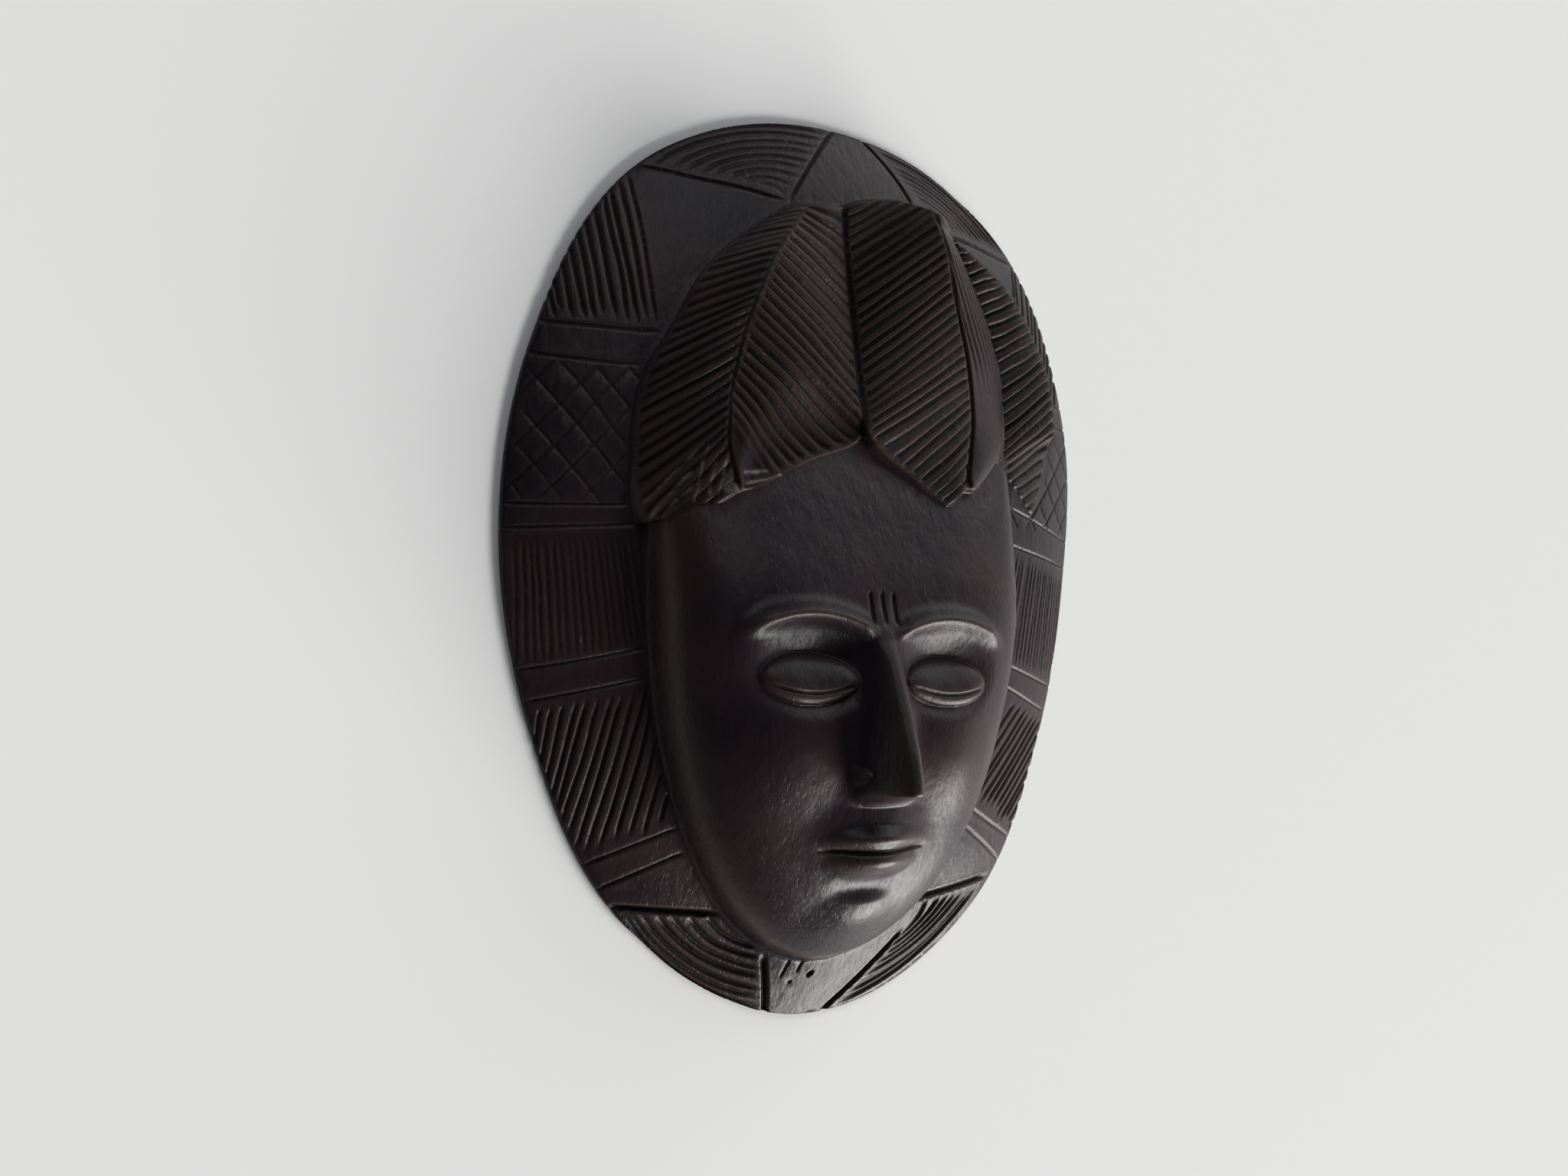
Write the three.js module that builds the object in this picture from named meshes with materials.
import * as THREE from 'three';

// A carved wooden mask lying on its flat back, all sizes in millimetres.
// X runs across the mask, Y from chin to crown and Z out of the face.

// Outline: radii from the middle of the board at every 30 degrees, from +X towards +Y
const RIM_RADII = [149, 168, 194, 199, 191, 164, 151, 154, 178, 199, 185, 156];
const RIM_THICKNESS = 3;
const RIM_SIDES = 72;

// The border swells inwards from the thin rim to the foot of the head
const BORDER_RISE = 26;
const BORDER_REACH = 52;
const BORDER_TOP = 20.5;

// Head: an egg-shaped dome, with its height along the middle at every 40 mm from chin to crown
const HEAD = { x: -2, y: 20, halfWidth: 94, below: 192, above: 138, taper: 2.3 };
const PROFILE_START = -180;
const PROFILE_STEP = 40;
const HEAD_PROFILE = [46, 58, 62, 58, 54, 43, 31, 23, 20, 18];
const TEMPLE_SQUARENESS = 2.5;
const JAW_SQUARENESS = 1.2;

// Face, placed by even thirds between hairline, brow, nose and chin
const FACE_X = -3;
const BROW_Y = -22;
const EYE_Y = -46;
const NOSE_Y = -92;
const MOUTH_Y = -118;
const CHIN_Y = -149;
const EYE_SPACING = 35;

// Hollow of the back
const HOLLOW = { x: -2, y: -25, halfWidth: 92, halfLength: 130, depth: 34 };

// Hair: each lobe spans rails of [x, y, z] stations, and its grooves join equal stations
const LEFT_OUTER = [[-35, 153.5, 18.5], [-56.4, 137.2, 19.6], [-75.8, 116.8, 20.2], [-88.8, 92.6, 20.2],
  [-101, 69, 19.2], [-104.4, 45.6, 19.6], [-103.8, 24.6, 21.5], [-99.5, 10.3, 27], [-75.8, 20, 41]];
const LEFT_CREST = [[-27, 156, 21], [-39.5, 142, 31], [-52, 126, 37.5], [-59.5, 108.5, 38],
  [-64.5, 94.5, 37.4], [-69.5, 72, 37], [-72, 54.5, 39], [-72.5, 44, 40], [-67.7, 25.2, 42]];
const LEFT_INNER = [[-8, 158.5, 20], [-6.5, 131, 22.6], [-5.3, 104, 27], [-4.4, 72, 34],
  [-3.5, 56, 38.5], [-34, 41, 38], [-52, 31, 40], [-59, 27.5, 40.7], [-65.6, 25.7, 41.6]];
const RIGHT_INNER = [[-8, 158.5, 20], [-7.4, 150, 21], [-6.7, 135, 22.2], [-5.8, 116, 25],
  [-4.9, 90, 29.6], [-4.3, 69, 34.6], [-3.5, 56, 38.5], [20, 40, 40], [40, 29, 42]];
const RIGHT_CREST = [[1, 163, 20.5], [19, 168, 21.5], [35, 166, 26], [37.6, 151, 35.5],
  [42.3, 129.5, 37.4], [48, 111, 37], [53, 93.5, 37], [55.8, 69.5, 38], [49.7, 37, 42]];
const SIDE_CREST = [[36, 158, 32], [38.4, 143, 37.5], [43, 127, 38], [48.7, 111, 37],
  [53.3, 94, 37], [55.6, 75, 37.5], [55.2, 56, 39.5], [51, 43, 41.5]];
const SIDE_OUTER = [[52, 157, 22], [62, 144, 21.5], [72.5, 127.5, 21.5], [80, 113, 21.5],
  [85.5, 96, 22.3], [86, 77, 24.7], [76, 55, 33], [56, 37, 41]];
const LOBE_INNER = [[54, 157, 20.5], [63, 143, 21.5], [73.5, 125.5, 21.5], [82.5, 105, 22],
  [87, 77, 23], [82.4, 52.1, 24.5], [94, 47.8, 23.3], [111.7, 33.9, 20]];
const LOBE_OUTER = [[56, 157, 20], [75, 148.2, 22.3], [92, 135.2, 23.3], [105.2, 118.5, 23.5],
  [116.2, 99.5, 23.5], [121.2, 80.5, 23.3], [122.9, 65.5, 21.8], [113.7, 33.9, 20]];
const HAIR_BELLY = 1.5;
const HAIR_EDGE = 0.8;

// Width and depth of the carved lines
const EDGE_LINE = { width: 2.2, depth: 1.4 };
const DEEP_LINE = { width: 4, depth: 2.6 };
const FACE_LINE = { width: 2.2, depth: 1.8 };
const FINE_HATCH = 1.4;
const BROAD_HATCH = 2.2;
const HAIR_GROOVE = 1.7;
const LOBE_GROOVE = 2.2;
const STRANDS = { count: 7, drift: 0.5, from: 0.04, to: 0.66 };
const MIDRIB_DEPTH = 1.4;
const FAN_CROWDING = 1.6;
const DIAMOND = { across: 15.4, along: 19, line: 0.17, depth: 1 };

// Plan places of the border carving, both sides written as if on the right
const LEFT_BORDER = {
  side: -1,
  keystone: [[1, 203], [35.5, 154]],
  keystoneBow: 1.2,
  crown: { start: [[4, 199], [38, 157]], end: [[104, 162], [46, 161]] },
  lines: [[[105, 160], [36, 156]], [[155, 88], [90, 88]], [[155, 76], [90, 74]],
    [[155, 14.5], [92, 17.5]], [[155, 4.5], [92, 10.5]], [[155, -52.5], [80, -36]],
    [[155, -67], [80, -48.5]], [[125, -133], [55, -103]], [[115, -143], [50, -112.5]]],
  lattice: [19, 73],
  ear: { start: [[99, 5], [148, 1]], end: [[89, -37], [144, -48]] },
  twist: { count: 15, crowding: 1.6, start: [[66, -48], [134, -48]], end: [[76, -125], [134, -125]] },
  twistRoom: [[80, -51.5], [155, -70], [125, -130], [55, -100]],
  fan: { start: [[92, -148], [43, -150.5]], end: [[25, -195], [34, -157.5]] },
  key: [[19, -205], [33, -150]],
};
const RIGHT_BORDER = {
  side: 1,
  keystone: [[6, 203], [36.5, 169]],
  keystoneBow: 2.8,
  crown: { start: [[14, 200], [43, 172]], end: [[103, 161], [62, 163.5]] },
  lines: [[[105, 158], [60, 161]], [[155, 90], [90, 91]], [[155, 80], [90, 79]],
    [[155, 20.5], [92, 34]], [[155, 9], [92, 18]], [[155, -55], [80, -37.5]],
    [[155, -70], [80, -47]], [[125, -130], [55, -98]], [[115, -139.5], [50, -102]]],
  lattice: [32, 77],
  ear: { start: [[99, 13], [148, 6]], end: [[89, -38], [144, -50]] },
  twist: { count: 13, crowding: 1, start: [[145, -21], [145, -97]], end: [[70, -96], [70, -172]] },
  twistRoom: [[80, -50], [155, -73], [125, -127], [55, -95]],
  fan: { start: [[96, -148], [54, -151]], end: [[14, -197.5], [47, -166]] },
  key: [[2, -205], [48, -162]],
};

// Room kept between neighbouring forms, and the fineness of the smooth surface
const RIM_MARGIN = 2.4;
const HATCH_GAP = 1.6;
const POINT_GAP = 2.4;
const COARSEST_CELL = 26;
const FINEST_CELL = 3.2;
const SMOOTH_ERROR = 0.35;
const HEAD_STEPS = 52;
const HOLLOW_STEPS = 36;

// Arithmetic on numbers and on [x, y] or [x, y, z] points
const clamp = (value, low, high) => Math.min(Math.max(value, low), high);
const mix = (a, b, t) => a + (b - a) * t;
const mixPoints = (a, b, t) => a.map((value, axis) => mix(value, b[axis], t));
const smooth = t => clamp(t, 0, 1) ** 2 * (3 - 2 * clamp(t, 0, 1));
const swell = square => (square < 1 ? (1 - square) ** 2 : 0);
const oval = (x, y, halfWidth, halfHeight) => (x / halfWidth) ** 2 + (y / halfHeight) ** 2;

// Smooth step from a to b that starts and ends at the given slopes
function hermite(a, b, slope, nextSlope, t) {
  return a + slope * t + (3 * (b - a) - 2 * slope - nextSlope) * t * t
    + (2 * (a - b) + slope + nextSlope) * t * t * t;
}

// Value of an open row of numbers at a place counted in steps, never passing its neighbours
function alongRow(row, place) {
  const last = row.length - 1;
  const index = clamp(Math.floor(place), 0, last - 1);
  const pick = offset => row[clamp(index + offset, 0, last)];
  const slopeAt = offset => {
    const [before, after] = [pick(offset) - pick(offset - 1), pick(offset + 1) - pick(offset)];
    if (before * after <= 0) return 0;
    const steepest = 2 * Math.min(Math.abs(before), Math.abs(after));
    return Math.sign(after) * Math.min(Math.abs(before + after) / 2, steepest);
  };
  return hermite(pick(0), pick(1), slopeAt(0), slopeAt(1), place - index);
}

// Point of a rail at t from 0 to 1
function alongRail(rail, t) {
  return [0, 1, 2].map(axis => alongRow(rail.map(station => station[axis]), t * (rail.length - 1)));
}

function rimRadius(angle) {
  const count = RIM_RADII.length;
  const place = ((angle / (2 * Math.PI)) * count + count) % count;
  const index = Math.floor(place);
  const pick = offset => RIM_RADII[(index + offset + count) % count];
  return hermite(pick(0), pick(1), (pick(1) - pick(-1)) / 2, (pick(2) - pick(0)) / 2, place - index);
}

function rimPoint(degrees, scale = 1) {
  const angle = THREE.MathUtils.degToRad(degrees);
  const radius = rimRadius(angle) * scale;
  return [radius * Math.cos(angle), radius * Math.sin(angle)];
}

function borderHeight(x, y) {
  const inside = Math.max(rimRadius(Math.atan2(y, x)) - Math.hypot(x, y), 0);
  const height = RIM_THICKNESS + BORDER_RISE * (1 - Math.exp(-inside / BORDER_REACH));
  return Math.min(height, BORDER_TOP);
}

// 0 in the middle of the head and 1 at its edge
function headFraction(x, y) {
  const reach = y < HEAD.y ? HEAD.below : HEAD.above;
  return ((x - HEAD.x) / HEAD.halfWidth) ** 2 + Math.abs((y - HEAD.y) / reach) ** HEAD.taper;
}

// Raised and sunk forms of the face, the same on both sides of its middle line
function faceRelief(x, y) {
  const side = Math.abs(x - FACE_X);
  const across = x - FACE_X;
  const browLine = BROW_Y - 9 * ((side - EYE_SPACING) / 33) ** 2;
  const browFade = smooth((side - 2) / 10) * (1 - smooth((side - 56) / 16));
  const brow = 4.5 * browFade * Math.exp(-(((y - browLine) / 4.2) ** 2));
  const socket = -9 * swell(oval(side - EYE_SPACING + 1, y - EYE_Y - 2, 33, 23));
  const lid = 8.5 * Math.max(0, 1 - oval(side - EYE_SPACING, y - EYE_Y + 3, 23, 10.5)) ** 0.6;
  const cheek = 4 * swell(oval(side - 46, y - EYE_Y + 34, 34, 34));
  const down = (EYE_Y + 14 - y) / (EYE_Y + 14 - NOSE_Y);
  const noseHeight = mix(4, 27, clamp(down, 0, 1)) * smooth((down + 0.3) / 0.4);
  const noseWidth = mix(7, 11, clamp(down, 0, 1));
  const noseEnd = 1 - smooth((NOSE_Y - 1 - y) / 8);
  const nose = noseHeight * noseEnd * Math.exp(-((side / noseWidth) ** 2.4));
  const nostril = 9 * swell(oval(side - 11, y - NOSE_Y - 4, 9, 9)) * noseEnd;
  const muzzle = 5 * swell(oval(across, y - MOUTH_Y, 38, 28));
  const upperLip = 5.5 * swell(oval(across, y - MOUTH_Y - 4, 29, 7));
  const lowerLip = 7 * swell(oval(across, y - MOUTH_Y + 6, 26, 8));
  const underLip = -3 * swell(oval(across, y - MOUTH_Y + 17, 22, 8));
  const chin = 6 * swell(oval(across, y - CHIN_Y, 25, 16));
  const eye = Math.max(brow + socket, brow + socket + lid);
  return eye + cheek + Math.max(nose, nostril) + muzzle + upperLip + lowerLip + underLip + chin;
}

// Height of the smooth surface of border, head and face
function surfaceHeight(x, y) {
  const border = borderHeight(x, y);
  const fraction = headFraction(x, y);
  if (fraction >= 1) return border;
  const middle = alongRow(HEAD_PROFILE, (y - PROFILE_START) / PROFILE_STEP);
  const squareness = mix(TEMPLE_SQUARENESS, JAW_SQUARENESS, smooth(-y / 110));
  const fullness = (1 - fraction ** squareness) ** 0.45;
  return border + (middle + faceRelief(x, y) - border) * fullness;
}

function insidePolygon(polygon, x, y) {
  let inside = false;
  polygon.forEach(([ax, ay], index) => {
    const [bx, by] = polygon[(index + 1) % polygon.length];
    if (ay > y !== by > y && x < ax + ((y - ay) / (by - ay)) * (bx - ax)) inside = !inside;
  });
  return inside;
}

function distanceToSegment([x, y], [ax, ay], [bx, by]) {
  const square = (bx - ax) ** 2 + (by - ay) ** 2;
  const t = clamp(((x - ax) * (bx - ax) + (y - ay) * (by - ay)) / square, 0, 1);
  return Math.hypot(x - mix(ax, bx, t), y - mix(ay, by, t));
}

// A closed counter-clockwise outline moved outwards in plan
function grow(outline, distance) {
  return outline.map(([x, y], index) => {
    const before = outline[(index + outline.length - 1) % outline.length];
    const after = outline[(index + 1) % outline.length];
    const length = Math.hypot(after[0] - before[0], after[1] - before[1]);
    const [dx, dy] = [(after[0] - before[0]) / length, (after[1] - before[1]) / length];
    return [x + dy * distance, y - dx * distance];
  });
}

// Twice the signed area of a plan triangle
const turn = (a, b, c) => (b[0] - a[0]) * (c[1] - a[1]) - (b[1] - a[1]) * (c[0] - a[0]);

// Positive where a point lies inside the circle through a counter-clockwise triangle
function inCircle([ax, ay], [bx, by], [cx, cy], [x, y]) {
  const [au, av, bu, bv, cu, cv] = [ax - x, ay - y, bx - x, by - y, cx - x, cy - y];
  const [a, b, c] = [au * au + av * av, bu * bu + bv * bv, cu * cu + cv * cv];
  return au * (bv * c - cv * b) - av * (bu * c - cu * b) + a * (bu * cv - cu * bv);
}

// Delaunay triangles of plan points that also keep the given edges
function triangulate(points, edges) {
  const far = 3000;
  const nudge = 0.002;
  const nudged = points.map(([x, y], index) => (
    [x + nudge * Math.sin(index * 12.9), y + nudge * Math.sin(index * 78.2 + 1)]));
  const all = [...nudged, [-far, -far], [far, -far], [0, far]];
  const count = points.length;
  let found = [[count, count + 1, count + 2]];
  nudged.forEach((point, index) => {
    const open = new Map();
    const kept = [];
    found.forEach(corners => {
      const [a, b, c] = corners;
      if (inCircle(all[a], all[b], all[c], point) <= 0) {
        kept.push(corners);
        return;
      }
      [[a, b], [b, c], [c, a]].forEach(([from, to]) => {
        if (!open.delete(to * all.length + from)) open.set(from * all.length + to, [from, to]);
      });
    });
    found = kept;
    open.forEach(([from, to]) => found.push([from, to, index]));
  });
  const net = new Map();
  const key = (from, to) => from * all.length + to;
  const add = (a, b, c) => net.set(key(a, b), c).set(key(b, c), a).set(key(c, a), b);
  found.forEach(corners => add(...corners));
  const fixed = new Set();
  edges.forEach(([from, to]) => keepEdge({ all, net, key, add, fixed }, from, to));
  const faces = [];
  net.forEach((c, code) => {
    const a = Math.floor(code / all.length);
    const b = code % all.length;
    if (a < b && a < c && b < count && c < count) faces.push([a, b, c]);
  });
  return faces;
}

// Turns the diagonals that cross a wanted edge until the edge is there
function keepEdge({ all, net, key, add, fixed }, from, to) {
  if (from === to) return;
  const [p, q] = [all[from], all[to]];
  const apart = (a, b, c, d) => turn(a, b, c) * turn(a, b, d) < 0;
  const crosses = (a, b) => a !== from && a !== to && b !== from && b !== to
    && apart(p, q, all[a], all[b]) && apart(all[a], all[b], p, q);
  const queue = [];
  let isBlocked = false;
  net.forEach((_, code) => {
    const a = Math.floor(code / all.length);
    const b = code % all.length;
    if (a < b && crosses(a, b)) {
      queue.push([a, b]);
      if (fixed.has(key(a, b))) isBlocked = true;
    }
  });
  if (isBlocked) return;
  fixed.add(key(from, to)).add(key(to, from));
  let turns = 20 * queue.length;
  while (queue.length && turns > 0) {
    turns -= 1;
    const [u, v] = queue.shift();
    const w = net.get(key(u, v));
    const x = net.get(key(v, u));
    if (!apart(all[w], all[x], all[u], all[v])) {
      queue.push([u, v]);
    } else {
      net.delete(key(u, v));
      net.delete(key(v, u));
      add(u, x, w);
      add(x, v, w);
      if (crosses(w, x)) queue.push([w, x]);
    }
  }
}

// Collects the points and edges of the carved front
class Front {
  constructor() {
    this.points = [];
    this.edges = [];
    this.known = new Map();
    this.closed = [];
  }

  point([x, y, z]) {
    const name = `${x.toFixed(2)} ${y.toFixed(2)}`;
    if (!this.known.has(name)) {
      this.known.set(name, this.points.length);
      this.points.push([x, y, z]);
    }
    return this.known.get(name);
  }

  line(points, loop = false) {
    const indices = points.map(point => this.point(point));
    indices.forEach((index, step) => {
      if (step > 0) this.edges.push([indices[step - 1], index]);
    });
    if (loop) this.edges.push([indices[indices.length - 1], indices[0]]);
  }

  // A V-shaped line with pointed ends
  groove(path, { width, depth }, segments, heightAt) {
    const centre = Array.from({ length: segments + 1 }, (_, step) => path(step / segments));
    const banks = [[], []];
    const floor = centre.map(([x, y], step) => {
      const before = centre[Math.max(step - 1, 0)];
      const after = centre[Math.min(step + 1, segments)];
      const length = Math.hypot(after[0] - before[0], after[1] - before[1]);
      const reach = width / 2 / length;
      const out = [(before[1] - after[1]) * reach, (after[0] - before[0]) * reach];
      const isTip = step === 0 || step === segments;
      banks.forEach((bank, index) => {
        const sign = isTip ? 0 : 1 - 2 * index;
        const [bx, by] = [x + out[0] * sign, y + out[1] * sign];
        bank.push([bx, by, heightAt(bx, by)]);
      });
      return [x, y, heightAt(x, y) - (isTip ? 0 : depth)];
    });
    this.line(floor);
    banks.forEach(bank => this.line(bank));
  }

  // Ridges and hollows side by side; lineAt gives the plan path of the line at t, or null
  hatch(count, lineAt, depth, segments, heightAt) {
    const starts = [];
    const ends = [];
    for (let index = 0; index <= 2 * count; index += 1) {
      const path = lineAt(index / (2 * count));
      if (path) {
        const drop = index % 2 ? depth : 0;
        const points = Array.from({ length: segments + 1 }, (_, step) => {
          const [x, y, z] = path(step / segments);
          return [x, y, (z ?? heightAt(x, y)) - drop];
        });
        this.line(points);
        starts.push(points[0]);
        ends.unshift(points[segments]);
      }
    }
    this.closed.push([...starts, ...ends]);
  }

  isFree(x, y) {
    if (this.closed.some(polygon => insidePolygon(polygon, x, y))) return false;
    return !this.edges.some(([a, b]) => (
      distanceToSegment([x, y], this.points[a], this.points[b]) < POINT_GAP
    ));
  }
}

// Outline of the hair, counter-clockwise, made of pieces of its rails
function hairOutline() {
  const piece = (rail, from, to, steps) => Array.from({ length: steps + 1 }, (_, step) => (
    alongRail(rail, mix(from, to, step / steps) / (rail.length - 1))));
  return [
    ...piece(LEFT_OUTER, 0, 8, 30),
    alongRail(LEFT_CREST, 1),
    ...piece(LEFT_INNER, 8, 4, 12),
    ...piece(RIGHT_INNER, 6.3, 8, 7),
    alongRail(RIGHT_CREST, 1),
    ...piece(SIDE_OUTER, 7, 6, 3),
    ...piece(LOBE_INNER, 5, 7, 6),
    ...piece(LOBE_OUTER, 7, 0, 24),
    alongRail(SIDE_OUTER, 0),
    ...piece(RIGHT_CREST, 2, 0, 6),
    alongRail(RIGHT_INNER, 0),
    alongRail(LEFT_CREST, 0),
  ];
}

const HAIR_OUTLINE = hairOutline();
const HAIR_FOOT = grow(HAIR_OUTLINE, HAIR_EDGE);
const HAIR_ROOM = grow(HAIR_OUTLINE, HAIR_EDGE + HATCH_GAP);

function onBorder(x, y) {
  const inside = rimRadius(Math.atan2(y, x)) - Math.hypot(x, y);
  return inside > RIM_MARGIN && headFraction(x, y) > 1.045 && !insidePolygon(HAIR_ROOM, x, y);
}

// Plan path from one point to another, bowed sideways in the middle
function stroke(start, end, bow = 0) {
  const [dx, dy] = [end[0] - start[0], end[1] - start[1]];
  const length = Math.hypot(dx, dy);
  return t => {
    const [x, y] = mixPoints(start, end, t);
    const lift = (bow * 4 * t * (1 - t)) / length;
    return [x - dy * lift, y + dx * lift];
  };
}

// The longest stretch of a path that stays on allowed ground, or null
function trimmed(path, allowed) {
  const steps = 80;
  const shortest = 5;
  let best = [0, 0];
  let start = null;
  for (let step = 0; step <= steps + 1; step += 1) {
    const good = step <= steps && allowed(...path(step / steps));
    if (good && start === null) start = step;
    if (!good && start !== null) {
      if (step - 1 - start > best[1] - best[0]) best = [start, step - 1];
      start = null;
    }
  }
  const [from, to] = best.map(step => step / steps);
  const [a, b] = [path(from), path(to)];
  if (Math.hypot(b[0] - a[0], b[1] - a[1]) < shortest) return null;
  return t => path(mix(from, to, t));
}

// The same path with a length in millimetres taken off both ends
function shortened(path, length) {
  const [a, b] = [path(0), path(1)];
  const share = Math.min(length / Math.hypot(b[0] - a[0], b[1] - a[1]), 0.4);
  return t => path(mix(share, 1 - share, t));
}

// Panels of the border on one side
function carveBorder(front, border) {
  const { side, keystone, crown, lines, lattice, ear, twist, fan, key } = border;
  const mirror = ([x, y]) => [side * x, y];
  const twistRoom = border.twistRoom.map(mirror);
  const between = ([a, b]) => t => mixPoints(a, b, t);
  const panel = (count, startAt, endAt, depth, segments, bowAt = () => 0, allowed = onBorder) => {
    const lineAt = t => {
      const path = stroke(mirror(startAt(t)), mirror(endAt(t)), side * bowAt(t));
      return trimmed(shortened(path, HATCH_GAP), allowed);
    };
    front.hatch(count, lineAt, depth, segments, surfaceHeight);
  };
  const line = (start, end, size, segments, bow = 0) => {
    const path = trimmed(stroke(mirror(start), mirror(end), side * bow), onBorder);
    if (path) front.groove(path, size, segments, surfaceHeight);
  };
  line(...keystone, EDGE_LINE, 4, border.keystoneBow);
  lines.forEach(ends => line(...ends, EDGE_LINE, 3));
  panel(9, between(crown.start), between(crown.end), FINE_HATCH, 3, t => mix(9, 1.2, t));
  panel(11, between([[104, 157], [148.5, 157]]), between([[93.5, 91], [138, 91]]), FINE_HATCH, 2);
  carveDiamonds(front, mirror, lattice);
  panel(18, between(ear.start), between(ear.end), FINE_HATCH, 1);
  const inTwist = (x, y) => onBorder(x, y) && insidePolygon(twistRoom, x, y);
  const twistEnd = t => between(twist.end)(1 - (1 - t) ** twist.crowding);
  panel(twist.count, between(twist.start), twistEnd, FINE_HATCH, 1, undefined, inTwist);
  line([101, -144.5], [30, -151.5], DEEP_LINE, 4);
  const fanStart = t => between(fan.start)(t ** FAN_CROWDING);
  panel(8, fanStart, between(fan.end), BROAD_HATCH, 3, t => mix(7.5, 1.5, t));
  line(...key, DEEP_LINE, 3);
}

// A lattice of diamonds with V-shaped lines between them
function carveDiamonds(front, mirror, [low, high]) {
  const { across, along, line, depth } = DIAMOND;
  const [left, right] = [100, 152];
  const columns = 8;
  const rows = 8;
  for (let row = 0; row < rows; row += 1) {
    for (let column = 0; column < columns; column += 1) {
      if ((row + column) % 2) continue;
      const centre = [left + (column * across) / 2, low + (row * along) / 2 - 1];
      const corners = [[-1, 0], [0, -1], [1, 0], [0, 1]].map(([u, v]) => [
        clamp(centre[0] + (u * across) / 2, left, right),
        clamp(centre[1] + (v * along) / 2, low, high),
      ]);
      const tip = corners.map(mirror);
      if (tip.every(([x, y]) => onBorder(x, y)) && centre[1] > low && centre[1] < high) {
        const raised = tip.map(corner => mixPoints(corner, mirror(centre), line));
        front.line(tip.map(([x, y]) => [x, y, surfaceHeight(x, y) - depth]), true);
        front.line(raised.map(([x, y]) => [x, y, surfaceHeight(x, y)]), true);
        front.closed.push(tip);
      }
    }
  }
}

// Point of a lobe at t along its rails and at a place across them, counted in rails
function lobePoint(rails, t, across) {
  const index = clamp(Math.floor(across), 0, rails.length - 2);
  const share = across - index;
  const [x, y, z] = mixPoints(alongRail(rails[index], t), alongRail(rails[index + 1], t), share);
  return [x, y, z + HAIR_BELLY * 4 * share * (1 - share)];
}

function carveHair(front) {
  front.line(HAIR_OUTLINE, true);
  front.line(HAIR_FOOT.map(([x, y]) => [x, y, surfaceHeight(x, y)]), true);
  front.closed.push(HAIR_OUTLINE);
  const rib = (rail, from, to, drop) => front.line(Array.from({ length: 11 }, (_, step) => {
    const [x, y, z] = alongRail(rail, mix(from, to, step / 10));
    return [x, y, z - drop];
  }));
  rib(LEFT_INNER, 0, 1 / 2, 0);
  rib(LEFT_CREST, 0.03, 0.97, MIDRIB_DEPTH);
  rib(RIGHT_CREST, 0.3, 0.97, MIDRIB_DEPTH);
  rib(SIDE_OUTER, 0.05, 6 / 7, 0);
  const face = (rails, across, count, depth, segments, from, to) => {
    const lineAt = t => shortened(share => lobePoint(rails, mix(from, to, t), across + share), HATCH_GAP);
    front.hatch(count, lineAt, depth, segments, null);
  };
  face([LEFT_OUTER, LEFT_CREST, LEFT_INNER], 0, 30, HAIR_GROOVE, 2, 0.03, 0.97);
  face([LEFT_OUTER, LEFT_CREST, LEFT_INNER], 1, 25, HAIR_GROOVE, 2, 0.03, 0.82);
  face([RIGHT_INNER, RIGHT_CREST], 0, 30, HAIR_GROOVE, 2, 0.04, 0.97);
  face([LOBE_INNER, LOBE_OUTER], 0, 26, LOBE_GROOVE, 1, 0.05, 0.96);
  const strand = place => {
    const reach = share => (share - place) / STRANDS.drift;
    const from = Math.max(STRANDS.from, reach(0.08));
    const to = Math.min(STRANDS.to, reach(0.94));
    return share => {
      const t = mix(from, to, share);
      return lobePoint([SIDE_CREST, SIDE_OUTER], t, place + STRANDS.drift * t);
    };
  };
  front.hatch(STRANDS.count, share => strand(mix(-0.2, 0.8, share)), HAIR_GROOVE, 4, null);
}

// Lid lines, the line between the lips, and short marks between the brows
function carveFace(front) {
  const at = (x, y) => [FACE_X + x, y];
  const line = (start, end, bow, segments) => {
    front.groove(stroke(at(...start), at(...end), bow), FACE_LINE, segments, surfaceHeight);
  };
  line([-EYE_SPACING - 20, EYE_Y - 5], [-EYE_SPACING + 20, EYE_Y - 5], -3.5, 6);
  line([EYE_SPACING - 20, EYE_Y - 5], [EYE_SPACING + 20, EYE_Y - 5], -3.5, 6);
  line([-27, MOUTH_Y], [27, MOUTH_Y], -1, 8);
  [-6, 0, 6].forEach(x => line([x, BROW_Y + 10], [x, BROW_Y - 4], 0, 3));
}

// Rings around the foot and the shoulder of the head, where it leaves the hair free
function ringHead(front) {
  const visible = (x, y) => !insidePolygon(HAIR_ROOM, x, y);
  [1, 0.95, 0.86].forEach(fraction => {
    let run = [];
    for (let step = 0; step <= HEAD_STEPS; step += 1) {
      const angle = Math.PI / 2 + (step / HEAD_STEPS) * 2 * Math.PI;
      const rise = Math.sin(angle);
      const reach = rise < 0 ? -HEAD.below : HEAD.above;
      const x = HEAD.x + HEAD.halfWidth * Math.sqrt(fraction) * Math.cos(angle);
      const y = HEAD.y + reach * (fraction * rise * rise) ** (1 / HEAD.taper);
      if (visible(x, y)) run.push([x, y, surfaceHeight(x, y)]);
    }
    front.line(run);
  });
}

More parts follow.
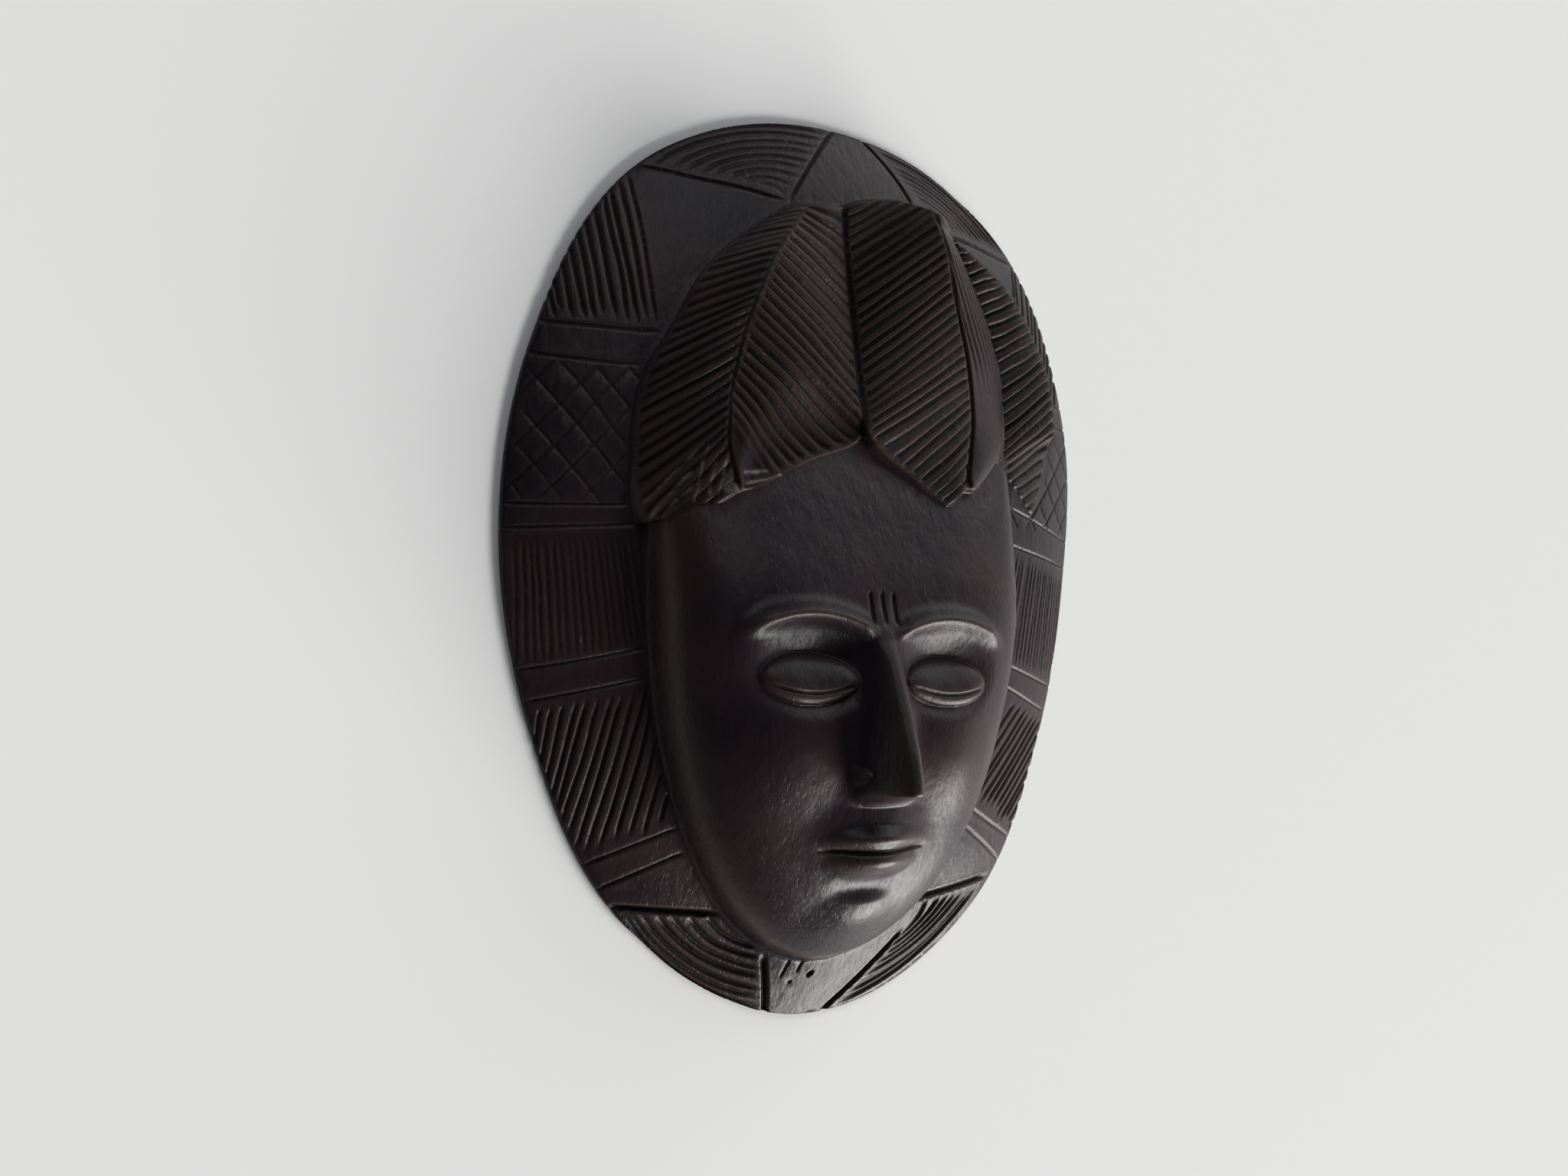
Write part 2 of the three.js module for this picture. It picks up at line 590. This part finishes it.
// Plan points spaced as closely as the smooth surface under them bends
function spreadPoints(front) {
  const found = new Map();
  const tests = [[0.5, 0.5], [0.5, 0], [0, 0.5], [0.5, 1], [1, 0.5], [0.25, 0.25], [0.75, 0.75]];
  const visit = (x, y, size) => {
    const corners = [[x, y], [x + size, y], [x, y + size], [x + size, y + size]];
    const heights = corners.map(corner => surfaceHeight(...corner));
    const error = Math.max(...tests.map(([u, v]) => {
      const flat = mix(mix(heights[0], heights[1], u), mix(heights[2], heights[3], u), v);
      return Math.abs(surfaceHeight(x + size * u, y + size * v) - flat);
    }));
    const half = size / 2;
    if (error > SMOOTH_ERROR && half >= FINEST_CELL) {
      const quarters = [[x, y], [x + half, y], [x, y + half], [x + half, y + half]];
      quarters.forEach(corner => visit(...corner, half));
    } else {
      corners.forEach(([cx, cy]) => found.set(`${cx.toFixed(3)} ${cy.toFixed(3)}`, [cx, cy]));
    }
  };
  const reach = COARSEST_CELL * 8;
  for (let x = -reach; x < reach; x += COARSEST_CELL) {
    for (let y = -reach; y < reach; y += COARSEST_CELL) visit(x + FACE_X, y, COARSEST_CELL);
  }
  const free = ([x, y]) => {
    const fraction = headFraction(x, y);
    const offRim = rimRadius(Math.atan2(y, x)) - Math.hypot(x, y) > 4 * RIM_MARGIN;
    return offRim && (fraction < 0.82 || fraction > 1.1) && front.isFree(x, y);
  };
  [...found.values()].filter(free).forEach(([x, y]) => front.point([x, y, surfaceHeight(x, y)]));
}

// Flat back with an oval hollow behind the face
function hollowPoints() {
  const points = [];
  [1, 0.985, 0.9, 0.68, 0.36].forEach((fraction, ring) => {
    for (let step = 0; step < HOLLOW_STEPS; step += 1) {
      const angle = ((step + (ring % 2) / 2) / HOLLOW_STEPS) * 2 * Math.PI;
      const x = HOLLOW.x + HOLLOW.halfWidth * fraction * Math.cos(angle);
      const y = HOLLOW.y + HOLLOW.halfLength * fraction * Math.sin(angle);
      points.push([x, y, HOLLOW.depth * Math.sqrt(1 - fraction * fraction)]);
    }
  });
  points.push([HOLLOW.x, HOLLOW.y, HOLLOW.depth]);
  return points;
}

// One closed body: carved front, thin upright rim, flat and hollowed back
function carveMask() {
  const ring = Array.from({ length: RIM_SIDES }, (_, index) => rimPoint((index * 360) / RIM_SIDES));
  const front = new Front();
  front.line(ring.map(([x, y]) => [x, y, RIM_THICKNESS]), true);
  carveHair(front);
  ringHead(front);
  [LEFT_BORDER, RIGHT_BORDER].forEach(border => carveBorder(front, border));
  carveFace(front);
  spreadPoints(front);

  const inRing = (points, [a, b, c]) => {
    const [x, y] = [0, 1].map(axis => (points[a][axis] + points[b][axis] + points[c][axis]) / 3);
    return insidePolygon(ring, x, y);
  };
  const faces = triangulate(front.points, front.edges).filter(face => inRing(front.points, face));
  const back = [...ring.map(([x, y]) => [x, y, 0]), ...hollowPoints()];
  const loop = (start, count) => Array.from({ length: count }, (_, step) => (
    [start + step, start + ((step + 1) % count)]));
  const backEdges = [...loop(0, RIM_SIDES), ...loop(RIM_SIDES, HOLLOW_STEPS)];
  const under = front.points.length;
  triangulate(back, backEdges).filter(face => inRing(back, face)).forEach(([a, b, c]) => {
    faces.push([under + a, under + c, under + b]);
  });
  loop(0, RIM_SIDES).forEach(([here, next]) => {
    faces.push([under + here, under + next, next], [under + here, next, here]);
  });

  const geometry = new THREE.BufferGeometry();
  const position = [...front.points, ...back].flat();
  geometry.setAttribute('position', new THREE.Float32BufferAttribute(position, 3));
  geometry.setIndex(faces.flat());
  geometry.computeBoundingBox();
  return geometry;
}

const wood = new THREE.MeshStandardMaterial({ color: 0x2a1c16, roughness: 0.42, metalness: 0 });
const mask = new THREE.Mesh(carveMask(), wood);
mask.name = 'mask_carving';
const middle = mask.geometry.boundingBox.getCenter(new THREE.Vector3());
mask.position.set(-middle.x, -middle.y, 0);

const group = new THREE.Group();
group.add(mask);

export default group;
